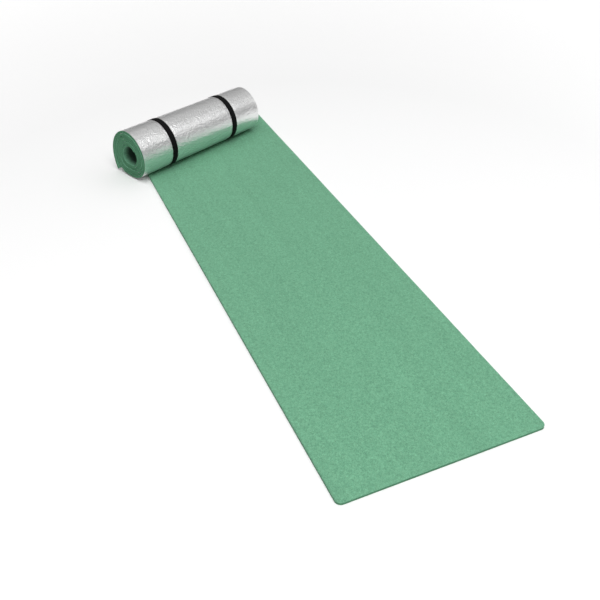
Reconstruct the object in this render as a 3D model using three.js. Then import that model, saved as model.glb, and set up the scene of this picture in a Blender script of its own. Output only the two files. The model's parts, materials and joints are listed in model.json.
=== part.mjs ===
// A pair of roll-up foam camping mats: one laid flat, the other rolled up and lying askew on its far end.
// Each mat is a sheet of closed-cell foam with a foil film on one side, and two elastic bands hold the roll.
// Millimetres, +Z up. The origin is the centre of the flat mat's underside, and +Y runs to the end under
// the roll.

import * as THREE from 'three';

// Both mats
const MAT_WIDTH = 500;
const MAT_LENGTH = 1800;
const FOAM_THICKNESS = 8;
const FOIL_THICKNESS = 0.2;
const CORNER_RADIUS = 14;
const CLEARANCE = 0.3; // between curved or loose pieces that touch

// The roll. Angles are seen from its left end: 0 is towards the mat's near end, and they grow towards the top.
const ROLL_CORE_RADIUS = 22.5; // from the axis to the foam at its inner end
const OUTER_END_ANGLE = THREE.MathUtils.degToRad(252); // where the sheet ends, under the back of the roll
const ROLL_CENTRE_X = -66;
const ROLL_CENTRE_Y = 660;
const ROLL_YAW = THREE.MathUtils.degToRad(22); // the roll's axis turned from the X axis
const STEPS_PER_TURN = 40;

// The elastic bands
const BAND_WIDTH = 20;
const BAND_THICKNESS = 1.2;
const LEFT_BAND_INSET = 126; // from the roll's left end to the middle of the band
const RIGHT_BAND_INSET = 112;
const LAP_START_ANGLE = THREE.MathUtils.degToRad(135); // the sewn lap, behind the top of the roll
const LAP_END_ANGLE = THREE.MathUtils.degToRad(162);

// The zigzag seam on each lap
const THREAD_RADIUS = 0.35;
const SEAM_WIDTH = 12;
const SEAM_MARGIN_ANGLE = THREE.MathUtils.degToRad(7); // bare lap beyond each end of the seam
const SEAM_ZIGZAGS = 4;
const STEPS_PER_ZIGZAG = 12;

const foamMaterial = (name) =>
  new THREE.MeshStandardMaterial({ name, color: 0x76ac8c, roughness: 0.85, metalness: 0 });
const foilMaterial = (name) =>
  new THREE.MeshStandardMaterial({ name, color: 0xc4c6c8, roughness: 0.35, metalness: 0.9 });
const elasticMaterial = (name) =>
  new THREE.MeshStandardMaterial({ name, color: 0x17181a, roughness: 0.8, metalness: 0 });

function namedMesh(name, geometry, material) {
  const mesh = new THREE.Mesh(geometry, material(name));
  mesh.name = name;
  return mesh;
}

const extrude = (shape, depth) =>
  new THREE.ExtrudeGeometry(shape, { depth, bevelEnabled: false, curveSegments: 6, steps: 1 });

// ---- The flat mat -----------------------------------------------------------------------------------

function matOutline() {
  const x = MAT_WIDTH / 2;
  const y = MAT_LENGTH / 2;
  const r = CORNER_RADIUS;
  const outline = new THREE.Shape();
  outline.moveTo(x - r, -y);
  outline.absarc(x - r, r - y, r, -Math.PI / 2, 0);
  outline.absarc(x - r, y - r, r, 0, Math.PI / 2);
  outline.absarc(r - x, y - r, r, Math.PI / 2, Math.PI);
  outline.absarc(r - x, r - y, r, Math.PI, Math.PI * 1.5);
  return outline;
}

function makeFlatMat() {
  const foil = namedMesh('flat_mat_foil', extrude(matOutline(), FOIL_THICKNESS), foilMaterial);
  const foam = namedMesh('flat_mat_foam', extrude(matOutline(), FOAM_THICKNESS), foamMaterial);
  foam.position.z = FOIL_THICKNESS;
  const flatMat = new THREE.Group();
  flatMat.add(foil, foam);
  return flatMat;
}

// ---- The rolled mat ---------------------------------------------------------------------------------
// Its sections are drawn as seen from the left end, x towards the mat's near end and y up, about the axis.

// A turn holds the foam, the film on its outside and the clearance on both faces of the film.
const TURN_PITCH = FOAM_THICKNESS + FOIL_THICKNESS + 2 * CLEARANCE;

// The angle through which the sheet winds so that its middle is as long as the flat mat.
function windingAngle() {
  const start = ROLL_CORE_RADIUS + FOAM_THICKNESS / 2;
  const growth = TURN_PITCH / (2 * Math.PI);
  return (Math.sqrt(start * start + 2 * growth * MAT_LENGTH) - start) / growth;
}

// Points on a spiral that lies depth outside the foam's inner face, from the inner end to the outer end.
// They share one grid of angles, so that neighbouring turns have parallel facets.
function spiralPoints(depth) {
  const winding = windingAngle();
  const step = (2 * Math.PI) / STEPS_PER_TURN;
  const points = [];
  for (let i = 0; i <= Math.ceil(winding / step - 1e-6); i++) {
    const turned = Math.min(i * step, winding);
    const radius = ROLL_CORE_RADIUS + depth + (TURN_PITCH * turned) / (2 * Math.PI);
    const angle = OUTER_END_ANGLE - winding + turned;
    points.push(new THREE.Vector2(radius * Math.cos(angle), radius * Math.sin(angle)));
  }
  return points;
}

function spiralLayer(innerDepth, thickness) {
  const section = spiralPoints(innerDepth + thickness);
  section.push(...spiralPoints(innerDepth).reverse());
  const geometry = extrude(new THREE.Shape(section), MAT_WIDTH);
  geometry.translate(0, 0, -MAT_WIDTH / 2);
  return geometry;
}

// ---- The bands --------------------------------------------------------------------------------------

// The convex hull of a set of points, anticlockwise.
function convexHull(points) {
  const turn = (a, b, c) => (b.x - a.x) * (c.y - a.y) - (b.y - a.y) * (c.x - a.x);
  const sorted = [...points].sort((a, b) => a.x - b.x || a.y - b.y);
  const halfHull = (row) => {
    const hull = [];
    for (const point of row) {
      while (hull.length > 1 && turn(hull.at(-2), hull.at(-1), point) <= 0) hull.pop();
      hull.push(point);
    }
    hull.pop();
    return hull;
  };
  return [...halfHull(sorted), ...halfHull(sorted.reverse())];
}

// Moves each corner of a convex outline outwards, so that its sides move by distance(corner).
function growOutline(outline, distance) {
  return outline.map((corner, i) => {
    const before = corner.clone().sub(outline.at(i - 1)).normalize();
    const after = outline[(i + 1) % outline.length].clone().sub(corner).normalize();
    const outwards = new THREE.Vector2(before.y + after.y, -before.x - after.x).normalize();
    const reach = distance(corner) / Math.sqrt((1 + before.dot(after)) / 2);
    return corner.clone().addScaledVector(outwards, reach);
  });
}

const angleOf = (point) => (Math.atan2(point.y, point.x) + 2 * Math.PI) % (2 * Math.PI);
const isLapped = (point) => angleOf(point) > LAP_START_ANGLE && angleOf(point) < LAP_END_ANGLE;

// What the bands are stretched round: the roll's section with its outer end, bridged straight.
const rollHull = convexHull(spiralPoints(FOAM_THICKNESS + CLEARANCE + FOIL_THICKNESS));

function bandLoop() {
  const inside = growOutline(rollHull, () => CLEARANCE);
  const outside = growOutline(rollHull, (p) => CLEARANCE + BAND_THICKNESS * (isLapped(p) ? 2 : 1));
  const section = new THREE.Shape(outside);
  section.holes.push(new THREE.Path(inside));
  const geometry = extrude(section, BAND_WIDTH);
  geometry.translate(0, 0, -BAND_WIDTH / 2);
  return geometry;
}

// How far the roll's hull reaches from the axis at an angle.
function hullRadius(angle) {
  const along = new THREE.Vector2(Math.cos(angle), Math.sin(angle));
  let radius = Infinity;
  rollHull.forEach((a, i) => {
    const side = rollHull[(i + 1) % rollHull.length].clone().sub(a);
    const outwards = new THREE.Vector2(side.y, -side.x).normalize();
    const facing = along.dot(outwards);
    if (facing > 0) radius = Math.min(radius, a.dot(outwards) / facing);
  });
  return radius;
}

function seam() {
  const start = LAP_START_ANGLE + SEAM_MARGIN_ANGLE;
  const sweep = LAP_END_ANGLE - SEAM_MARGIN_ANGLE - start;
  const height = 2 * CLEARANCE + 2 * BAND_THICKNESS + THREAD_RADIUS;
  const steps = SEAM_ZIGZAGS * STEPS_PER_ZIGZAG;
  const route = [];
  for (let i = 0; i <= steps; i++) {
    const angle = start + (sweep * i) / steps;
    const across = (SEAM_WIDTH / 2) * Math.sin((2 * Math.PI * i) / STEPS_PER_ZIGZAG);
    const radius = hullRadius(angle) + height;
    route.push(new THREE.Vector3(radius * Math.cos(angle), radius * Math.sin(angle), across));
  }
  const section = new THREE.Shape();
  section.absarc(0, 0, THREAD_RADIUS, 0, Math.PI * 2);
  return new THREE.ExtrudeGeometry(section, {
    steps,
    bevelEnabled: false,
    curveSegments: 6,
    extrudePath: new THREE.CatmullRomCurve3(route),
  });
}

// fromMiddle is along the roll's axis, towards its left end.
function makeBand(name, fromMiddle) {
  const band = new THREE.Group();
  band.add(
    namedMesh(name, bandLoop(), elasticMaterial),
    namedMesh(`${name}_stitching`, seam(), elasticMaterial),
  );
  band.position.z = fromMiddle;
  return band;
}

function makeRolledMat() {
  const rolledMat = new THREE.Group();
  rolledMat.add(
    namedMesh('rolled_mat_foam', spiralLayer(0, FOAM_THICKNESS), foamMaterial),
    namedMesh('rolled_mat_foil', spiralLayer(FOAM_THICKNESS + CLEARANCE, FOIL_THICKNESS), foilMaterial),
    makeBand('left_band', MAT_WIDTH / 2 - LEFT_BAND_INSET),
    makeBand('right_band', RIGHT_BAND_INSET - MAT_WIDTH / 2),
  );
  const lowestOfHull = Math.max(...rollHull.map((point) => -point.y));
  const matTop = FOIL_THICKNESS + FOAM_THICKNESS;
  const axisHeight = matTop + CLEARANCE + BAND_THICKNESS + CLEARANCE + lowestOfHull;
  // The group's x is towards the near end, its y up and its z along the axis towards the left end.
  const frame = new THREE.Matrix4().makeBasis(
    new THREE.Vector3(Math.sin(ROLL_YAW), -Math.cos(ROLL_YAW), 0),
    new THREE.Vector3(0, 0, 1),
    new THREE.Vector3(-Math.cos(ROLL_YAW), -Math.sin(ROLL_YAW), 0),
  );
  rolledMat.quaternion.setFromRotationMatrix(frame);
  rolledMat.position.set(ROLL_CENTRE_X, ROLL_CENTRE_Y, axisHeight);
  return rolledMat;
}

const campingMats = new THREE.Group();
campingMats.add(makeFlatMat(), makeRolledMat());

export default campingMats;
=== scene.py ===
import json
import math

import bpy
import numpy as np
from mathutils import Matrix, Vector, noise


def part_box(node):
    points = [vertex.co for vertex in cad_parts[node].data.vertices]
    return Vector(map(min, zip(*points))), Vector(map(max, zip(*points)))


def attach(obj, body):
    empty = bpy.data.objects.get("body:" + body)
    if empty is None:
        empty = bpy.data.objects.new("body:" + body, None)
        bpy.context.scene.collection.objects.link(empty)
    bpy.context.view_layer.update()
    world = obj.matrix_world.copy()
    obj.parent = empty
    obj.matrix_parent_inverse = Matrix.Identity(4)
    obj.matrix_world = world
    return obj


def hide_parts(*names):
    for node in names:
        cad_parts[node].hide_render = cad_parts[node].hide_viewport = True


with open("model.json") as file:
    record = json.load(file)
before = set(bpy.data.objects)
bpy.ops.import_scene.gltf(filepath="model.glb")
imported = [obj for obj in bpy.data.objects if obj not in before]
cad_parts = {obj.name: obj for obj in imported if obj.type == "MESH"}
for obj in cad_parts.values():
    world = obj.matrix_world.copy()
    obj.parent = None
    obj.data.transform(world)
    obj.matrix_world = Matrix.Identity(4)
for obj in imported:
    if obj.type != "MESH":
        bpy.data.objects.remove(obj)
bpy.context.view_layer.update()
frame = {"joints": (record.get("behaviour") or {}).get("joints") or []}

# Two foil-backed foam camping mats: one lies flat, and the other is rolled up on it, in two elastic bands.
# Lengths are in metres, in the CAD model's frame. The roll is worked out in its own section: h runs across
# it towards the flat mat's near end and v runs up, both from the roll's middle, and s runs along the roll
# from its left end. "Unrolled" coordinates say where a point lies on the sheet before it was wound: along
# it, across it and through it. The materials read them.
MM = 0.001
rad = math.radians

# ---------------------------------------------------------------- sizes from the frame
foam_low, foam_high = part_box("flat_mat_foam")
FOAM = foam_high.z - foam_low.z
FOIL = foam_low.z
LAYER = FOAM + FOIL
MAT_TOP = foam_high.z
MAT_WIDTH = foam_high.x - foam_low.x
MAT_LENGTH = foam_high.y - foam_low.y

joints = {joint["name"]: joint for joint in frame["joints"]}
ALONG = np.array(joints["right_band_slide"]["axis"], float)
ALONG /= np.linalg.norm(ALONG)      # the roll's axis, towards its right end
UP = np.array([0.0, 0.0, 1.0])
NEAR = np.cross(ALONG, UP)          # across the roll, towards the mat's near end

# ---------------------------------------------------------------- sizes that the CAD source sets
CORNER_RADIUS = 14 * MM
BAND_WIDTH = 20 * MM
BAND_THICKNESS = 1.2 * MM
PITCH = 8.8 * MM                    # foam, foil and the slack between turns
CORE_RADIUS = 22.5 * MM
OUTER_END = rad(252)                # where round the roll the sheet ends


def winding():
    """How far round the sheet winds, from its length along the middle of the foam."""
    growth = PITCH / math.tau
    start = CORE_RADIUS + FOAM / 2
    return (math.sqrt(start ** 2 + 2 * growth * MAT_LENGTH) - start) / growth


TURNED = winding()
INNER_END = OUTER_END - TURNED

# ---------------------------------------------------------------- how the real roll differs from a spiral
LEFT_RADIUS, RIGHT_RADIUS = 80.0 * MM, 75.4 * MM    # outside, at the roll's two ends
LEFT_RISE, RIGHT_RISE = 2.5 * MM, -2.1 * MM     # of the roll's middle there over the CAD's axis

# What turns a true spiral into the roll, in millimetres by degrees round it, once its outside radius is
# added: a circle over the top and front, eased in where the outer end lies on the mat.
LEVEL_START = -80
LEVEL = [(-80, -71.9), (-40, -72.9), (0, -73.8), (45, -74.9), (90, -76.0), (115, -76.6),
         (150, -76.6), (200, -76.6), (235, -76.4), (252, -76.0), (263, -74.6), (280, -71.9)]

GROOVE_DEPTH = 0.45 * MM            # how far a band presses into the roll
GROOVE_HEAVY = 0.95 * MM            # and how much further where the roll lies on the band
GROOVE_HEAVY_AT, GROOVE_HEAVY_SPREAD = 256, 38  # degrees
GROOVE_HALF_WIDTH = 10.4 * MM
GROOVE_SLOPE = 11 * MM

OPEN_LENGTH = 100 * MM              # how far in from the left end the winding is loose
BULGE = 17 * MM                     # how far the loose turns sag out, low on the far side
BULGE_AT, BULGE_BEFORE, BULGE_AFTER = 222, 48, 36   # degrees
BULGE_GROWTH = 0.36                 # how much more the outer turns bulge than the inner ones
FLAP_ANGLE = rad(142)               # how much of the outer turn has sprung open
FLAP_START = rad(110)               # where round the roll it leaves the winding
FLAP_TURN = rad(113)                # how far round it still goes
FLAP_OPENING = 40.9 * MM            # how much further out it ends than it starts
FLAP_CURL = 1.95                    # above 1, so most of the opening comes near its end
FLAP_EASE = 0.12                    # the share of the flap over which it parts from the winding


def smooth(x):
    """0 below 0, 1 above 1 and an S between."""
    x = np.clip(x, 0, 1)
    return x * x * (3 - 2 * x)


def blend(a, b, share):
    return (1 - share) * a + share * b


def polar(radius, angle):
    return np.stack([radius * np.cos(angle), radius * np.sin(angle)], -1)


def bell(reach, spread):
    """Smoothing weights for the samples up to reach away on both sides."""
    weights = np.exp(-0.5 * (np.arange(-reach, reach + 1) / spread) ** 2)
    return weights / weights.sum()


def smoothed_round(values, weights):
    """Samples round a full turn, smoothed across its seam too."""
    reach = len(weights) // 2
    wrapped = np.r_[values[-reach:], values, values[:reach]]
    return np.convolve(wrapped, weights, "same")[reach:-reach]


def at_degrees(values, degrees):
    """Reads between 360 samples, one for each degree."""
    return np.interp(degrees % 360, np.arange(361), np.r_[values, values[0]])


def level_samples():
    degrees, levels = np.array(LEVEL).T
    samples = np.interp(np.arange(360), degrees - LEVEL_START, levels)
    return smoothed_round(samples, bell(15, 4.0)) * MM


LEVEL_SAMPLES = level_samples()


def level_at(angle):
    return at_degrees(LEVEL_SAMPLES, np.degrees(angle) - LEVEL_START)


def spiral_radius(turned):
    """The outer face of the foil on a true spiral."""
    return CORE_RADIUS + LAYER + PITCH * turned / math.tau


def arc_length(turned):
    """The sheet's own length from its inner end."""
    return (CORE_RADIUS + LAYER / 2) * turned + PITCH * turned ** 2 / (2 * math.tau)


def groove(s, angle):
    """How deep the bands press the winding in."""
    heavy = np.exp(-((np.degrees(angle) % 360 - GROOVE_HEAVY_AT) / GROOVE_HEAVY_SPREAD) ** 2)
    pressed = sum(1 - smooth((abs(s - middle) - GROOVE_HALF_WIDTH) / GROOVE_SLOPE)
                  for middle in BAND_MIDDLES)
    return (GROOVE_DEPTH + GROOVE_HEAVY * heavy) * pressed


def bulge(angle):
    away = np.degrees(angle) % 360 - BULGE_AT
    away = np.where(away < -180, away + 360, away)
    return BULGE * np.exp(-(away / np.where(away < 0, BULGE_BEFORE, BULGE_AFTER)) ** 2)


def section(turned, s):
    """The foil's outer face as h and v, at an angle wound and a distance along the roll."""
    turned, s = np.broadcast_arrays(np.asarray(turned, float), np.asarray(s, float))
    angle = INNER_END + turned
    radius = blend(LEFT_RADIUS, RIGHT_RADIUS, s / MAT_WIDTH)
    closed = spiral_radius(turned) + level_at(angle) + radius - groove(s, angle)
    opened = closed + bulge(angle) * (1 + BULGE_GROWTH * turned / TURNED)

    flap = (turned - (TURNED - FLAP_ANGLE)) / FLAP_ANGLE
    flap_root = spiral_radius(TURNED - FLAP_ANGLE) + level_at(FLAP_START) + radius
    flap_radius = flap_root + FLAP_OPENING * np.clip(flap, 0, 1) ** FLAP_CURL
    sprung = polar(flap_radius, FLAP_START + FLAP_TURN * flap)

    loose = blend(polar(opened, angle), sprung, smooth(flap / FLAP_EASE)[..., None])
    looseness = smooth(1 - s / OPEN_LENGTH)
    hv = blend(polar(closed, angle), loose, looseness[..., None])
    hv[..., 1] += blend(LEFT_RISE, RIGHT_RISE, s / MAT_WIDTH)
    return hv


def outward(tangent):
    """The unit normal on the right of a tangent, which is outside for a line that turns left."""
    normal = np.stack([tangent[..., 1], -tangent[..., 0]], -1)
    return normal / np.linalg.norm(normal, axis=-1, keepdims=True)


def section_normal(turned, s, step=0.004):
    return outward(section(turned + step, s) - section(turned - step, s))


def roll_centre():
    """The roll's middle: where a plain spiral of foam fills the CAD node's box."""
    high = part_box("rolled_mat_foam")[1]
    turned = np.linspace(0, TURNED, 4000)
    hv = polar(CORE_RADIUS + FOAM + PITCH * turned / math.tau, INNER_END + turned)
    half = abs(ALONG) * MAT_WIDTH / 2
    x = half[0] + (hv[:, 0] * NEAR[0]).max()
    y = half[1] + (hv[:, 0] * NEAR[1]).max()
    return np.array([high.x - x, high.y - y, high.z - hv[:, 1].max()])


CENTRE = roll_centre()
LEFT_END = CENTRE - ALONG * MAT_WIDTH / 2


def along_roll(node):
    """How far a CAD node's middle is from the roll's left end."""
    low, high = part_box(node)
    return float((np.array((low + high) / 2) - LEFT_END) @ ALONG)


BAND_MIDDLES = [along_roll("left_band"), along_roll("right_band")]


def placed(hv, s):
    """Points in the model's frame, from section points and distances along the roll."""
    s = np.broadcast_to(s, hv.shape[:-1])
    return LEFT_END + s[..., None] * ALONG + hv[..., :1] * NEAR + hv[..., 1:] * UP


# ---------------------------------------------------------------- mesh helpers
def linked(name, mesh, unrolled):
    """Smooths a mesh, stores its unrolled coordinates and puts it in the scene."""
    layer = mesh.attributes.new("unrolled", "FLOAT_VECTOR", "POINT")
    layer.data.foreach_set("vector", np.ascontiguousarray(unrolled, np.float32).ravel())
    mesh.polygons.foreach_set("use_smooth", np.ones(len(mesh.polygons), bool))
    piece = bpy.data.objects.new(name, mesh)
    bpy.context.scene.collection.objects.link(piece)
    return piece


def quad_piece(name, verts, faces, groups, unrolled, materials, sharp):
    """A piece made of quads, with edges above the sharp angle kept sharp."""
    mesh = bpy.data.meshes.new(name)
    mesh.vertices.add(len(verts))
    mesh.vertices.foreach_set("co", np.ascontiguousarray(verts, np.float32).ravel())
    mesh.loops.add(faces.size)
    mesh.loops.foreach_set("vertex_index", np.ascontiguousarray(faces, np.int32).ravel())
    mesh.polygons.add(len(faces))
    mesh.polygons.foreach_set("loop_start", np.arange(0, faces.size, 4, dtype=np.int32))
    mesh.polygons.foreach_set("loop_total", np.full(len(faces), 4, np.int32))
    for material in materials:
        mesh.materials.append(material)
    mesh.polygons.foreach_set("material_index", np.asarray(groups, np.int32))
    mesh.update(calc_edges=True)
    mesh.validate()
    piece = linked(name, mesh, unrolled)
    mesh.set_sharp_from_angle(angle=sharp)
    return piece


def sheet_quads(index, flip):
    """The quads of a grid of vertex numbers."""
    quads = np.stack([index[:-1, :-1], index[1:, :-1], index[1:, 1:], index[:-1, 1:]], -1)
    quads = quads.reshape(-1, 4)
    return quads[:, ::-1] if flip else quads


def signed_volume(verts, faces):
    middle = verts.mean(0)
    total = 0.0
    for corners in ([0, 1, 2], [0, 2, 3]):
        a, b, c = (verts[faces[:, k]] - middle for k in corners)
        total += np.einsum("ij,ij->i", a, np.cross(b, c)).sum()
    return total


def lattice_piece(name, points, unrolled, materials, sharp=rad(38)):
    """The closed skin of a lattice of points, along, across and through a sheet.

    The sheet's two faces have the first material, and its cut edges have the last.
    """
    index = np.arange(math.prod(points.shape[:3])).reshape(points.shape[:3])
    edges = [sheet_quads(index[0], True), sheet_quads(index[-1], False),
             sheet_quads(index[:, 0], False), sheet_quads(index[:, -1], True)]
    skins = [sheet_quads(index[:, :, 0], True), sheet_quads(index[:, :, -1], False)]
    faces = np.concatenate(edges + skins)
    groups = np.zeros(len(faces), int)
    groups[:sum(map(len, edges))] = len(materials) - 1
    used, faces = np.unique(faces, return_inverse=True)
    faces = faces.reshape(-1, 4)
    verts = points.reshape(-1, 3)[used]
    if signed_volume(verts, faces) < 0:
        faces = faces[:, ::-1]
    return quad_piece(name, verts, faces, groups, unrolled.reshape(-1, 3)[used], materials, sharp)


def path_lengths(path):
    """The length from the start of a path to each of its points."""
    return np.r_[0, np.cumsum(np.linalg.norm(np.diff(path, axis=0), axis=1))]


def tube_piece(name, path, radius, material, sides=8):
    """A closed tube with rounded ends along a path."""
    tangent = np.gradient(path, axis=0)
    side = np.cross(tangent, (0.31, 0.2, 0.93))     # any direction that the path never takes
    side /= np.linalg.norm(side, axis=1, keepdims=True)
    other = np.cross(tangent / np.linalg.norm(tangent, axis=1, keepdims=True), side)
    size = np.full(len(path), radius)
    size[[0, -1]] *= 0.35
    size[[1, -2]] *= 0.8
    around = np.arange(sides) * math.tau / sides
    spokes = side[:, None] * np.cos(around)[:, None] + other[:, None] * np.sin(around)[:, None]
    rings = path[:, None] + spokes * size[:, None, None]
    verts = np.concatenate([rings.reshape(-1, 3), path[[0, -1]]])

    first_tip, last_tip = len(verts) - 2, len(verts) - 1
    last_ring = (len(path) - 1) * sides
    faces = []
    for start in range(0, last_ring, sides):
        for j in range(sides):
            k = (j + 1) % sides
            faces.append([start + j, start + k, start + sides + k, start + sides + j])
    for j in range(sides):
        k = (j + 1) % sides
        faces.append([first_tip, k, j])
        faces.append([last_tip, last_ring + j, last_ring + k])

    unrolled = np.zeros((len(verts), 3))
    unrolled[:-2, 0] = np.repeat(path_lengths(path), sides)
    unrolled[:-2, 1] = np.tile(around * radius, len(path))
    mesh = bpy.data.meshes.new(name)
    mesh.from_pydata([tuple(v) for v in verts], [], faces)
    mesh.materials.append(material)
    piece = linked(name, mesh, unrolled)
    mesh.update()
    return piece


# ---------------------------------------------------------------- materials
class Graph:
    """A short way to write a node tree."""

    def __init__(self, tree):
        self.tree = tree
        tree.nodes.clear()

    def node(self, kind, **settings):
        made = self.tree.nodes.new(kind)
        for setting, value in settings.items():
            setattr(made, setting, value)
        return made

    def put(self, value, socket):
        """Links a socket's value, or sets a plain one."""
        if isinstance(value, bpy.types.NodeSocket):
            self.tree.links.new(value, socket)
        elif socket.type == "VECTOR":
            socket.default_value = tuple(value)[:3]
        else:
            socket.default_value = value

    def filled(self, kind, inputs, **settings):
        """A new node with its inputs put in, by name or number."""
        made = self.node(kind, **settings)
        for key, value in inputs.items():
            self.put(value, made.inputs[key])
        return made

    def math(self, operation, a, b):
        return self.filled("ShaderNodeMath", {0: a, 1: b}, operation=operation).outputs[0]

    def product(self, first, *others):
        for other in others:
            first = self.math("MULTIPLY", first, other)
        return first

    def range(self, value, low, high, to_low, to_high):
        """Takes low..high to to_low..to_high, and holds the ends."""
        inputs = {0: value, 1: low, 2: high, 3: to_low, 4: to_high}
        return self.filled("ShaderNodeMapRange", inputs).outputs[0]

    def split(self, vector):
        return self.filled("ShaderNodeSeparateXYZ", {0: vector}).outputs

    def mixed(self, share, first, second):
        """A mix of two colours, which are the mix node's sockets 6 and 7, with its output 2."""
        inputs = {0: share, 6: first, 7: second}
        return self.filled("ShaderNodeMix", inputs, data_type="RGBA").outputs[2]

    def lit(self, colour, light):
        """A colour made lighter or darker."""
        return self.filled("ShaderNodeVectorMath", {0: colour, "Scale": light}, operation="SCALE").outputs[0]


class Skin(Graph):
    """A material on the principled shader, laid out in unrolled coordinates."""

    def __init__(self, name):
        self.material = bpy.data.materials.new(name)
        self.material.use_nodes = True
        super().__init__(self.material.node_tree)
        self.shader = self.node("ShaderNodeBsdfPrincipled")
        output = self.node("ShaderNodeOutputMaterial")
        self.put(self.shader.outputs[0], output.inputs[0])
        self.where = self.node("ShaderNodeAttribute", attribute_name="unrolled").outputs["Vector"]

    def stretched(self, per_metre):
        """Unrolled coordinates with their own scale along, across and through the sheet."""
        mapping = {"Vector": self.where, "Scale": per_metre}
        return self.filled("ShaderNodeMapping", mapping, vector_type="POINT").outputs[0]

    def noise(self, scale, detail=3.0, rough=0.6, distortion=0.0):
        """Noise with this many features a metre, or three numbers for a stretched one."""
        stretched = isinstance(scale, tuple)
        inputs = {"Vector": self.stretched(scale) if stretched else self.where,
                  "Scale": 1.0 if stretched else scale,
                  "Detail": detail, "Roughness": rough, "Distortion": distortion}
        return self.filled("ShaderNodeTexNoise", inputs).outputs[0]

    def cells(self, scale, feature="F1"):
        inputs = {"Vector": self.where, "Scale": scale}
        return self.filled("ShaderNodeTexVoronoi", inputs, feature=feature).outputs["Distance"]

    def wave(self, direction, scale, distortion=0.0):
        inputs = {"Vector": self.where, "Scale": scale, "Distortion": distortion}
        return self.filled("ShaderNodeTexWave", inputs, wave_type="BANDS",
                           bands_direction=direction).outputs["Fac"]

    def vary(self, pattern, least, most, low=0.3, high=0.7):
        """A factor from least to most, over the part of a noise that is often met."""
        return self.range(pattern, low, high, least, most)

    def bump(self, height, depth, strength, under=None):
        inputs = {"Strength": strength, "Distance": depth, "Height": height}
        if under is not None:
            inputs["Normal"] = under
        return self.filled("ShaderNodeBump", inputs).outputs[0]

    def set(self, **sockets):
        """Sets the shader's inputs, named with underscores for spaces."""
        for name, value in sockets.items():
            self.put(value, self.shader.inputs[name.replace("_", " ")])


FOAM_GREEN = (0.145, 0.379, 0.234, 1)
FOAM_WARM = (FOAM_GREEN[0] * 1.06, FOAM_GREEN[1] * 0.985, FOAM_GREEN[2] * 0.99, 1)
# The cut faces' green is darker than the skin's: partly the opened cells' own colour, partly painted shade.
CUT_GREEN_WITH_SHADE = (0.074, 0.222, 0.121, 1)
FOIL_SILVER = (0.87, 0.872, 0.87, 1)
ELASTIC_BLACK = (0.0055, 0.0055, 0.006, 1)
THREAD_BLACK = (0.022, 0.022, 0.024, 1)

CORE_LENGTH = 0.18                  # how much of the sheet lines the roll's core
CORE_SHADE_LEVEL = 0.12                     # how much light the painted shade leaves deep inside the core
RIB_SPACING, WEFT_SPACING = 1.3 * MM, 0.9 * MM


def painted_core_shade(skin):
    """Painted shade: 1 all over the sheet but on the core's wall, where it falls off away from the roll's
    two ends.
    """
    along, across, through = skin.split(skin.where)
    from_end = skin.math("MINIMUM", across, skin.math("SUBTRACT", MAT_WIDTH, across))
    reached = skin.range(from_end, 1 * MM, 24 * MM, 1.0, CORE_SHADE_LEVEL)
    on_core = skin.range(along, CORE_LENGTH, CORE_LENGTH + 20 * MM, 1.0, 0.0)
    on_face = skin.range(through, 0.2 * MM, 1.0 * MM, 1.0, 0.0)
    dimmed = skin.product(on_core, on_face, skin.math("SUBTRACT", 1.0, reached))
    return skin.math("SUBTRACT", 1.0, dimmed)


def foam_skin(name, core=False):
    """Closed-cell foam: a fine grain, a soft mottle, and faint streaks along the sheet, with painted shade
    on the core's wall for the wound sheet.
    """
    skin = Skin(name)
    grain = skin.noise(430)
    mottle = skin.noise(175)
    broad = skin.noise((1.3, 17, 1), detail=2, rough=0.5)
    streak = skin.noise((5, 130, 1), rough=0.55)
    light = skin.product(skin.vary(grain, 0.66, 1.34, 0.25, 0.75), skin.vary(mottle, 0.87, 1.13),
                         skin.vary(broad, 0.965, 1.035), skin.vary(streak, 0.975, 1.025))
    # On the wound sheet, painted shade darkens the base colour on the core's wall, away from the roll's two
    # ends.
    if core:
        light = skin.product(light, painted_core_shade(skin))
    green = skin.mixed(skin.vary(mottle, 0, 1, 0.35, 0.65), FOAM_GREEN, FOAM_WARM)
    relief = skin.bump(skin.cells(700), 0.12 * MM, 0.5)
    skin.set(Base_Color=skin.lit(green, light), Roughness=skin.vary(grain, 0.72, 0.86),
             Normal=skin.bump(mottle, 0.6 * MM, 0.35, relief),
             Specular_IOR_Level=0.3, Sheen_Weight=0.08, Sheen_Roughness=0.5)
    return skin.material


def foam_cut(name):
    """The knife-cut edge: opened cells, rougher than the skin, and darker, partly the cut cells' own colour
    and partly painted shade on the cut faces.
    """
    skin = Skin(name)
    cells = skin.cells(950)
    grain = skin.noise(500)
    layers = skin.noise((9, 9, 700), detail=2, rough=0.5)
    light = skin.product(skin.vary(cells, 0.78, 1.16, 0.1, 0.75), skin.vary(grain, 0.9, 1.1),
                         skin.vary(layers, 0.92, 1.08))
    # The cut green holds painted shade as well as the cells' darker colour.
    skin.set(Base_Color=skin.lit(CUT_GREEN_WITH_SHADE, light), Roughness=0.9,
             Normal=skin.bump(cells, 0.3 * MM, 0.7), Specular_IOR_Level=0.2)
    return skin.material


def foil_skin(name):
    """Embossed foil film: creases and facets all over, with soft lengthwise bands."""
    skin = Skin(name)
    patch = skin.noise(26)
    bands = skin.noise((70, 3.5, 1), rough=0.55)
    facets = skin.cells(250, "SMOOTH_F1")
    fine = skin.noise(430, detail=2, rough=0.5)
    creases = skin.noise((125, 70, 1), detail=2, rough=0.5, distortion=0.4)
    light = skin.product(skin.vary(bands, 0.93, 1.05), skin.vary(fine, 0.95, 1.04))
    relief = skin.bump(creases, 1.8 * MM, 0.8)
    relief = skin.bump(facets, 1.4 * MM, 0.8, relief)
    skin.set(Base_Color=skin.lit(FOIL_SILVER, light), Metallic=1.0,
             Roughness=skin.vary(patch, 0.295, 0.345), Normal=skin.bump(fine, 0.22 * MM, 0.8, relief))
    return skin.material


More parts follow.
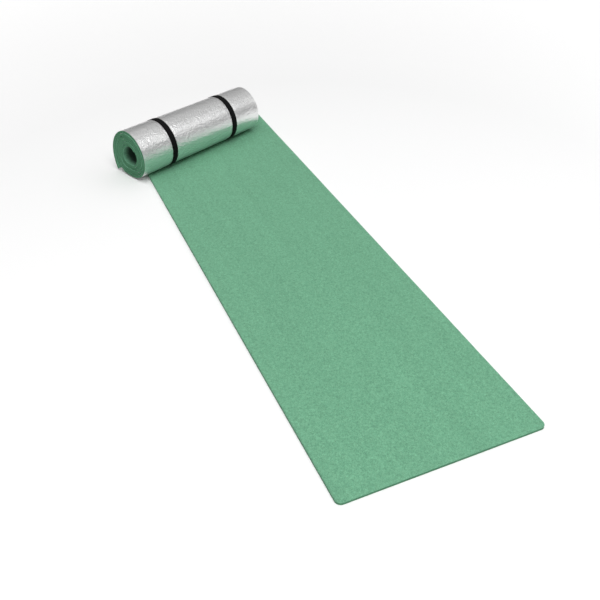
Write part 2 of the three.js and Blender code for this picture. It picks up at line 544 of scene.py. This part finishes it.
def elastic_weave(name):
    """Flat braided elastic: ribs along the band with the weft dipping between them."""
    skin = Skin(name)
    ribs = skin.wave("Y", 1 / (math.pi * RIB_SPACING))
    weft = skin.wave("X", 1 / (math.pi * WEFT_SPACING), distortion=1.2)
    fuzz = skin.noise(1500)
    weave = skin.product(skin.range(ribs, 0, 1, 0.4, 1.0), skin.range(weft, 0, 1, 0.6, 1.0))
    light = skin.product(weave, skin.vary(fuzz, 0.7, 1.35))
    skin.set(Base_Color=skin.lit(ELASTIC_BLACK, light), Roughness=0.8, Specular_IOR_Level=0.14,
             Normal=skin.bump(weave, 0.3 * MM, 0.6))
    return skin.material


def thread_twist(name):
    """Sewing thread, twisted."""
    skin = Skin(name)
    twist = skin.wave("DIAGONAL", 900)
    fuzz = skin.noise(2500, detail=2)
    light = skin.product(skin.range(twist, 0, 1, 0.7, 1.2), skin.vary(fuzz, 0.85, 1.15))
    skin.set(Base_Color=skin.lit(THREAD_BLACK, light), Roughness=0.6,
             Normal=skin.bump(twist, 0.1 * MM, 0.6))
    return skin.material


FOAM_SKIN = foam_skin("foam_skin")
ROLL_SKIN = foam_skin("foam_skin_wound", core=True)
FOAM_CUT = foam_cut("foam_cut_edge")
FOIL_SKIN = foil_skin("foil_film")
ELASTIC = elastic_weave("elastic_weave")
THREAD = thread_twist("thread_twist")


# ---------------------------------------------------------------- the flat mat
FLAT_FOAM_STEP, FLAT_FOIL_STEP = 9 * MM, 12 * MM
FLAT_EDGE = 3.0 * MM                # how far the flat mat's upper edge is rounded
FLAT_FOIL_EDGE = 1.4 * MM           # how far in from its edge the film's grid is finer
FLAT_HOLLOW, ROLL_HOLLOW = 0.25 * MM, 0.35 * MM # how far the foam's cut faces sink in at the middle
FOAM_GAP = 0.02 * MM                # the foam's gap over the film that it lies on
CORNER_SHARES = np.array([0.14, 0.28, 0.42, 0.56, 0.7, 0.82])
EDGE_SHARES = np.array([1.0, 0.75, 0.5, 0.3, 0.15, 0.05, 0.0])
CUT_SHARP = rad(50)                 # keeps the edge between skin and cut face
UNDER_ACROSS, UNDER_ALONG = 160 * MM, 360 * MM  # how far from its middle the roll keeps the mat level
UNDER_EASE = 60 * MM


def noise_grid(points, scale, octaves=2, seed=0.0):
    """Fractal noise at each point, from about -1 to 1."""
    flat = np.asarray(points, float).reshape(-1, 3) * scale + seed
    out = np.zeros(len(flat))
    for octave in range(octaves):
        finer = 2.0 ** octave
        out += np.array([noise.noise(Vector(p * finer)) for p in flat]) / finer
    return out.reshape(points.shape[:-1])


def quarter_round(from_edge, radius):
    """How far a surface is set back by a rounding of this radius."""
    near = np.clip(1 - from_edge / radius, 0, 1)
    return radius * (1 - np.sqrt(np.clip(1 - near * near, 0, 1)))


def hollowed(share, depth):
    """How far a cut face has sunk in, at a share of the foam's thickness."""
    return 4 * share * (1 - share) * depth


def edge_lines(half, step, edge):
    """Grid lines from -half to half, close together at the rounded corner and edge."""
    inner = half - CORNER_RADIUS
    middle = np.linspace(-inner, inner, max(2, round(2 * inner / step)) + 1)
    corner = inner + CORNER_RADIUS * CORNER_SHARES
    fine = half - edge * EDGE_SHARES
    outer = np.r_[corner[corner < fine[0] - 0.1 * MM], fine]
    return np.r_[-outer[::-1], middle, outer]


def mat_grid(step, edge):
    """A grid over the mat with round corners, and each point's distance in from the edge."""
    half_x, half_y = MAT_WIDTH / 2, MAT_LENGTH / 2
    x, y = np.meshgrid(edge_lines(half_x, step, edge), edge_lines(half_y, step, edge), indexing="ij")
    inset = np.minimum(half_x - abs(x), half_y - abs(y))
    a = (abs(x) - (half_x - CORNER_RADIUS)) / CORNER_RADIUS
    b = (abs(y) - (half_y - CORNER_RADIUS)) / CORNER_RADIUS
    corner = (a > 0) & (b > 0)
    # The square from 0 to 1 in a and b goes to a quarter disc.
    round_a = a * np.sqrt(np.clip(1 - b * b / 2, 0, 1))
    round_b = b * np.sqrt(np.clip(1 - a * a / 2, 0, 1))
    x = np.where(corner, np.sign(x) * (half_x - CORNER_RADIUS + round_a * CORNER_RADIUS), x)
    y = np.where(corner, np.sign(y) * (half_y - CORNER_RADIUS + round_b * CORNER_RADIUS), y)
    return x, y, inset


def stacked(x, y, heights):
    """A lattice of one grid at several heights."""
    return np.stack([np.stack([x, y, z], -1) for z in heights], 2)


def laid_flat(lattice):
    """The flat mat's unrolled coordinates: its length runs along y."""
    return lattice[..., [1, 0, 2]]


def under_roll(x, y):
    """1 under the roll and its bands, 0 away from them."""
    from_centre = np.stack([x, y], -1) - CENTRE[:2]
    across = abs(from_centre @ NEAR[:2])
    along = abs(from_centre @ ALONG[:2])
    return smooth((UNDER_ACROSS - across) / UNDER_EASE) * smooth((UNDER_ALONG - along) / UNDER_EASE)


def flat_foam():
    """The flat mat's foam: a faintly uneven top, a soft upper edge and a slightly hollow cut face."""
    x, y, inset = mat_grid(FLAT_FOAM_STEP, FLAT_EDGE)
    flat = np.stack([x, y, 0 * x], -1)
    wave = noise_grid(flat, 5.5, seed=3.1)
    ripple = noise_grid(flat, 38, octaves=1, seed=7.7)
    swelling = 0.62 * np.clip(0.30 + 0.45 * wave, 0, None) * MM
    uneven = swelling + (0.03 + 0.05 * ripple) * MM
    top = MAT_TOP + uneven * (1 - under_roll(x, y)) - 0.95 * quarter_round(inset, FLAT_EDGE)
    bottom = FOIL + FOAM_GAP
    shares = np.array([0.0, 0.2, 0.45, 0.7, 0.88, 1.0])
    lattice = stacked(x, y, [blend(bottom, top, share) for share in shares])
    at_edge = (inset < 1e-6)[..., None]
    hollow = at_edge * hollowed(shares, FLAT_HOLLOW)
    lattice[..., 0] *= 1 - hollow / (MAT_WIDTH / 2)
    lattice[..., 1] *= 1 - hollow / (MAT_LENGTH / 2)
    return lattice_piece("flat_foam_pad", lattice, laid_flat(lattice), [FOAM_SKIN, FOAM_CUT], CUT_SHARP)


def flat_foil():
    """The film under the flat mat, crinkled a little on the side that lies on the floor."""
    x, y, _ = mat_grid(FLAT_FOIL_STEP, FLAT_FOIL_EDGE)
    crinkle = noise_grid(np.stack([x, y, 0 * x], -1), 60, seed=1.3)
    low = np.clip(0.04 + 0.05 * crinkle, 0, 0.12) * MM
    lattice = stacked(x, y, [low, FOIL + 0 * x])
    return lattice_piece("flat_foil_backing", lattice, laid_flat(lattice), [FOIL_SKIN])


# ---------------------------------------------------------------- the rolled mat
FOAM_STEPS, HIDDEN_FOIL_STEPS, SEEN_FOIL_STEPS = 76, 38, 165    # in one turn
FOAM_ROW, FOIL_ROW = 26 * MM, 5.0 * MM          # between rows along the roll
END_ROWS = np.array([0, 0.06, 0.16, 0.32, 0.6, 1.2, 2.5, 5, 9, 14, 20, 27, 35]) * MM
FOAM_BESIDE_BANDS = np.array([-21, -16, -10.4, 0, 10.4, 16, 21]) * MM
FOIL_BESIDE_BANDS = np.array([-21, -10.4, 10.4, 21]) * MM
ROLL_EDGE = 0.35 * MM               # how far the roll's cut edges are rounded
FOAM_TO_FOIL = 0.03 * MM            # the film's gap from the foam
FOIL_STAND_OFF = 0.2 * MM           # how far the film that is out of sight moves off the foam
SEEN_TURNS = 1.12                   # how much of the film is seen, and is crinkled in the mesh
COVERED_INSET = 2.6 * MM            # how far the film's edge is drawn in where a turn covers it


def near_ends(s, reach):
    """How close a row is to the roll's left end and to its right end, each from 0 to 1."""
    return smooth(1 - s / reach), smooth(1 - (MAT_WIDTH - s) / reach)


def telescoped(turned, s):
    """The turns don't end quite level: each end steps in and out by about a millimetre."""
    left, right = near_ends(s, 60 * MM)
    left_step = np.sin(turned * 0.61 + 1.0) * 0.9 + np.sin(turned * 1.37 + 0.4) * 0.5 + 0.2
    right_step = np.sin(turned * 0.53 + 2.2) * 0.8 + np.sin(turned * 1.13 + 1.7) * 0.6 + 0.2
    return s + (left * left_step - right * right_step) * MM


def roll_rows(step, beside_bands):
    """Rows along the roll, with extra ones at both ends and beside each band."""
    last = END_ROWS[-1]
    evenly = np.arange(last + step, MAT_WIDTH - last - step / 2, step)
    rows = np.r_[END_ROWS, evenly, MAT_WIDTH - END_ROWS[::-1]]
    for mark in (middle + offset for middle in BAND_MIDDLES for offset in beside_bands):
        rows = rows[abs(rows - mark) > 0.4 * step]
        rows = np.r_[rows, mark]
    return np.unique(np.round(rows, 7))


def rolled_foam():
    """The wound sheet of foam, with lightly rounded and hollow cut edges."""
    turned = np.linspace(0, TURNED, int(FOAM_STEPS * TURNED / math.tau))
    t, s = np.meshgrid(turned, roll_rows(FOAM_ROW, FOAM_BESIDE_BANDS), indexing="ij")
    outer = section(t, s)
    normal = section_normal(t, s)
    inset = quarter_round(np.minimum(s, MAT_WIDTH - s), ROLL_EDGE)
    along = telescoped(t, s)
    layers, unrolled = [], []
    for share in (0, 0.06, 0.3, 0.55, 0.8, 0.94, 1.0):
        depth = inset + (FOAM - 2 * inset - FOAM_TO_FOIL) * share
        hollow = hollowed(share, ROLL_HOLLOW)
        sunk = along + np.where(s <= 0, hollow, 0) - np.where(s >= MAT_WIDTH, hollow, 0)
        layers.append(placed(outer - normal * (LAYER - depth)[..., None], sunk))
        unrolled.append(np.stack([arc_length(t), s, depth], -1))
    return lattice_piece("rolled_foam", np.stack(layers, 2), np.stack(unrolled, 2),
                         [ROLL_SKIN, FOAM_CUT], CUT_SHARP)


def crinkled(t, s):
    """How far the film stands off the foam, from the embossing's larger creases."""
    sheet = np.stack([arc_length(t), s, 0 * s], -1)
    fold = noise_grid(sheet * (1.0, 0.55, 1), 80, octaves=1, seed=5.5)
    patch = noise_grid(sheet * (0.9, 0.6, 1), 22, seed=9.1)
    dimple = noise_grid(sheet, 62, octaves=1, seed=2.2)
    height = np.clip(0.26 + 0.13 * fold + 0.10 * dimple + 0.06 * patch, 0, 0.5) * MM
    for middle in BAND_MIDDLES:
        height = height * smooth((abs(s - middle) - 9 * MM) / (6 * MM))
    return height


def rolled_foil():
    """The wound film on the foam's outer face: coarse inside the roll, fine where it is seen."""
    hidden = TURNED - SEEN_TURNS * math.tau
    inner = np.linspace(0, hidden, int(HIDDEN_FOIL_STEPS * hidden / math.tau), endpoint=False)
    turned = np.r_[inner, np.linspace(hidden, TURNED, int(SEEN_FOIL_STEPS * SEEN_TURNS))]
    t, s = np.meshgrid(turned, roll_rows(FOIL_ROW, FOIL_BESIDE_BANDS), indexing="ij")
    outer = section(t, s)
    normal = section_normal(t, s)

    stand_off = np.full_like(t, FOIL_STAND_OFF)
    seen = slice(len(inner), None)
    shown = smooth((t[seen] - hidden) / 0.5)
    stand_off[seen] = blend(FOIL_STAND_OFF, crinkled(t[seen], s[seen]), shown)
    covered = 1 - smooth((t - (TURNED - 0.98 * math.tau)) / 0.4)
    left, right = near_ends(s, 20 * MM)
    along = telescoped(t, s) + covered * COVERED_INSET * (left - right)
    layers, unrolled = [], []
    for depth in (FOAM, LAYER):
        layers.append(placed(outer + normal * (depth - LAYER + stand_off)[..., None], along))
        unrolled.append(np.stack([arc_length(t), s, depth + 0 * s], -1))
    return lattice_piece("rolled_foil", np.stack(layers, 2), np.stack(unrolled, 2), [FOIL_SKIN], rad(60))


# ---------------------------------------------------------------- bands
LAP_START, LAP_END = rad(135), rad(162)         # where the two ends of the elastic lie on each other
LAP_RISE_FROM, LAP_RISE = rad(24), rad(22)      # the upper end climbs onto the lower one before the lap
BAND_GAP = 0.10 * MM
BAND_ROWS = 45                      # across the band
BAND_STEP = rad(1.25)
RIBS = 17
STITCH_FROM, STITCH_TURN = rad(141), rad(15)
ZIGZAGS = 5
ZIGZAG_HALF_WIDTH = 6 * MM
THREAD_RADIUS = 0.34 * MM


def hull(points):
    """The convex outline of points in a plane, turning left."""
    ordered = sorted(map(tuple, points))

    def half(sequence):
        chain = []
        for p in sequence:
            while len(chain) > 1:
                (ax, ay), (bx, by) = chain[-2:]
                if (bx - ax) * (p[1] - ay) - (by - ay) * (p[0] - ax) > 0:
                    break
                chain.pop()
            chain.append(p)
        return chain[:-1]

    return np.array(half(ordered) + half(ordered[::-1]))


def hull_radius(points, angles):
    """How far a tight loop round the points is from the middle, at each angle."""
    start = hull(points)
    edge = np.roll(start, -1, 0) - start
    out = np.zeros(len(angles))
    for i, (dx, dy) in enumerate(polar(1.0, angles)):
        cross = dx * edge[:, 1] - dy * edge[:, 0]
        cross = np.where(abs(cross) < 1e-12, 1e-12, cross)
        reach = (start[:, 0] * edge[:, 1] - start[:, 1] * edge[:, 0]) / cross
        share = (start[:, 0] * dy - start[:, 1] * dx) / cross
        hit = (reach > 0) & (share >= -1e-6) & (share <= 1 + 1e-6)
        out[i] = reach[hit].max()
    return out


def loop_points(s, angles):
    """Section points of a loop drawn tight round the roll, and their outward directions."""
    outer_turn = section(np.linspace(TURNED - 1.25 * math.tau, TURNED, 420), s)
    radius = smoothed_round(hull_radius(outer_turn, np.radians(np.arange(360.0))), bell(6, 2.2))

    def curve(a):
        return polar(at_degrees(radius, np.degrees(a)), a)

    return curve(angles), outward(curve(angles + 0.02) - curve(angles - 0.02))


def lap_lift(angles):
    """The upper end of the elastic climbs onto the lower one."""
    over = smooth((angles - (LAP_START + math.tau - LAP_RISE_FROM)) / LAP_RISE)
    return over * (BAND_THICKNESS + 0.04 * MM)


def band(name, s_middle):
    """A loop of ribbed elastic, thinner at its selvedges, whose ends lap."""
    end = LAP_END + math.tau
    angles = np.linspace(LAP_START, end, int((end - LAP_START) / BAND_STEP))
    half = BAND_WIDTH / 2
    loops = {share: loop_points(s_middle + share * half, angles) for share in (-1, -0.5, 0, 0.5, 1)}
    lengths = path_lengths(loops[-1][0])
    lift = lap_lift(angles)
    rows, unrolled = [], []
    for w in np.linspace(-1, 1, BAND_ROWS):
        path, away = loops[round(w * 2) / 2]
        body = 1 - smooth((abs(w) - 0.93) / 0.07)
        rib = 0.07 * MM * (0.5 - 0.5 * math.cos(w * RIBS * math.pi))
        inner = BAND_GAP + 0.25 * MM * (1 - body)
        outer = BAND_GAP + (BAND_THICKNESS - 0.12 * MM) * (0.72 + 0.28 * body) + rib * body
        faces = [path + away * (depth + lift)[:, None] for depth in (inner, outer)]
        rows.append(placed(np.stack(faces, 1), s_middle + w * half))
        flat = [np.stack([lengths, w * half + 0 * lengths, depth + 0 * lengths], -1)
                for depth in (inner, outer)]
        unrolled.append(np.stack(flat, 1))
    return lattice_piece(name, np.stack(rows, 1), np.stack(unrolled, 1), [ELASTIC], rad(55))


def seam(name, s_middle):
    """A zigzag of thread through both layers of the lap."""
    share = np.linspace(0, 1, ZIGZAGS * 24 + 1)
    zigzag = 2 * abs(2 * (share * ZIGZAGS - np.floor(share * ZIGZAGS + 0.5))) - 1
    path, away = loop_points(s_middle, STITCH_FROM + STITCH_TURN * share + math.tau)
    lift = BAND_GAP + 2 * BAND_THICKNESS + 0.12 * MM
    stitches = placed(path + away * lift, s_middle + zigzag * ZIGZAG_HALF_WIDTH)
    return tube_piece(name, stitches, THREAD_RADIUS, THREAD)


# ---------------------------------------------------------------- build
foam_pad = flat_foam()
foil_backing = flat_foil()
roll_foam = rolled_foam()
roll_foil = rolled_foil()
left_band = band("left_elastic", BAND_MIDDLES[0])
right_band = band("right_elastic", BAND_MIDDLES[1])
left_seam = seam("left_seam_thread", BAND_MIDDLES[0])
right_seam = seam("right_seam_thread", BAND_MIDDLES[1])

for piece, body, node, finish in (
        (foam_pad, "flat_mat", "flat_mat_foam", "foam"),
        (foil_backing, "flat_mat", "flat_mat_foil", "foil"),
        (roll_foam, "rolled_mat", "rolled_mat_foam", "foam"),
        (roll_foil, "rolled_mat", "rolled_mat_foil", "foil"),
        (left_band, "left_band", "left_band", "elastic"),
        (right_band, "right_band", "right_band", "elastic"),
        (left_seam, "left_band", "left_band_stitching", "thread"),
        (right_seam, "right_band", "right_band_stitching", "thread")):
    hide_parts(node)
    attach(piece, body)

# ---------------------------------------------------------------- floor, light, camera
FLOOR_HALF = 40.0
FLOOR_DROP = 0.3 * MM               # keeps the floor off the film's own underside
GLOW_FROM, GLOW_FULL = 1.2, 6.0     # how far out the floor starts and stops brightening
GLOW = 0.66
BACKDROP = 0.96

# The studio's light by height, from 0 at the horizon to 1 overhead, and what is left of it on the left.
LIGHT_HORIZON, LIGHT_OVERHEAD = 0.14, 0.66
LIGHT_BETWEEN = ((0.13, 0.15), (0.34, 0.40), (0.62, 0.46))
LEFT_SIDE_LEVEL = 0.22

CAMERA_EYE = (-0.66475, -1.74522, 1.25651)
CAMERA_FORWARD = (0.29936, 0.72738, -0.61750)
CAMERA_LEAN = rad(-1.589)
CAMERA_LENS = 46.33


def grey(level):
    return (level, level, level, 1)


def paper_floor():
    """A pale floor that glows far out, so that it meets the backdrop without a dark horizon."""
    half = FLOOR_HALF
    mesh = bpy.data.meshes.new("floor")
    mesh.from_pydata([(-half, -half, 0), (half, -half, 0), (half, half, 0), (-half, half, 0)],
                     [], [(0, 1, 2, 3)])
    paper = Skin("floor_paper")
    place = paper.node("ShaderNodeTexCoord").outputs["Object"]
    far = paper.filled("ShaderNodeVectorMath", {0: place}, operation="LENGTH").outputs["Value"]
    paper.set(Base_Color=grey(0.96), Roughness=0.9, Specular_IOR_Level=0.1, Emission_Color=grey(1.0),
              Emission_Strength=paper.range(far, GLOW_FROM, GLOW_FULL, 0.0, GLOW))
    mesh.materials.append(paper.material)
    floor = bpy.data.objects.new("floor", mesh)
    floor.location.z = -FLOOR_DROP
    bpy.context.scene.collection.objects.link(floor)
    return floor


def studio_world():
    """Soft light, weaker low down and from the roll's left. The camera sees a plain backdrop instead."""
    world = bpy.data.worlds.new("studio")
    bpy.context.scene.world = world
    world.use_nodes = True
    graph = Graph(world.node_tree)
    direction = graph.node("ShaderNodeTexCoord").outputs["Generated"]
    ramp = graph.filled("ShaderNodeValToRGB", {0: graph.split(direction)[2]})
    stops = ramp.color_ramp.elements
    stops[0].color = grey(LIGHT_HORIZON)
    stops[1].color = grey(LIGHT_OVERHEAD)
    for height, level in LIGHT_BETWEEN:
        stops.new(height).color = grey(level)
    towards_right = graph.filled("ShaderNodeVectorMath", {0: direction, 1: ALONG}, operation="DOT_PRODUCT")
    side = graph.range(towards_right.outputs["Value"], -0.7, 0.35, LEFT_SIDE_LEVEL, 1.0)
    light = graph.filled("ShaderNodeBackground", {"Color": graph.lit(ramp.outputs[0], side)})
    backdrop = graph.filled("ShaderNodeBackground", {"Color": grey(BACKDROP)})
    seen = graph.node("ShaderNodeLightPath").outputs["Is Camera Ray"]
    either = graph.filled("ShaderNodeMixShader", {0: seen, 1: light.outputs[0], 2: backdrop.outputs[0]})
    graph.filled("ShaderNodeOutputWorld", {0: either.outputs[0]})


def area_light(name, direction, distance, size, radiance):
    """A square softbox seen from the roll along a direction, with a given brightness."""
    lamp = bpy.data.lights.new(name, "AREA")
    lamp.shape = "SQUARE"
    lamp.size = size
    lamp.energy = radiance * math.pi * size * size
    light = bpy.data.objects.new(name, lamp)
    bpy.context.scene.collection.objects.link(light)
    towards = Vector(direction).normalized()
    light.location = Vector(CENTRE) * 0.5 + towards * distance
    light.rotation_mode = "QUATERNION"
    light.rotation_quaternion = towards.to_track_quat("Z", "Y")


def studio_camera():
    """The photograph's viewpoint, with its slight lean."""
    lens = bpy.data.cameras.new("camera")
    lens.sensor_width = 36
    lens.lens = CAMERA_LENS
    lens.clip_start, lens.clip_end = 0.05, 50
    camera = bpy.data.objects.new("camera", lens)
    bpy.context.scene.collection.objects.link(camera)
    forward = Vector(CAMERA_FORWARD).normalized()
    right = forward.cross(Vector((0, 0, 1))).normalized()
    up = right.cross(forward)
    leaned_right = right * math.cos(CAMERA_LEAN) + up * math.sin(CAMERA_LEAN)
    leaned_up = up * math.cos(CAMERA_LEAN) - right * math.sin(CAMERA_LEAN)
    turn = Matrix((leaned_right, leaned_up, -forward)).transposed().to_4x4()
    camera.matrix_world = Matrix.Translation(Vector(CAMERA_EYE)) @ turn
    bpy.context.scene.camera = camera


floor = paper_floor()
studio_world()
area_light("key_overhead", (-0.24, 0.08, 0.96), distance=8.0, size=5.0, radiance=1.2)
area_light("key_front", (-0.06, -0.52, 0.85), distance=8.5, size=5.4, radiance=5.5)
area_light("stripe_front", (0.72, -0.31, 0.62), distance=6.0, size=3.0, radiance=0.70)
studio_camera()

view = bpy.context.scene.view_settings
view.view_transform = "Standard"
view.look = "None"
view.exposure = 0.0
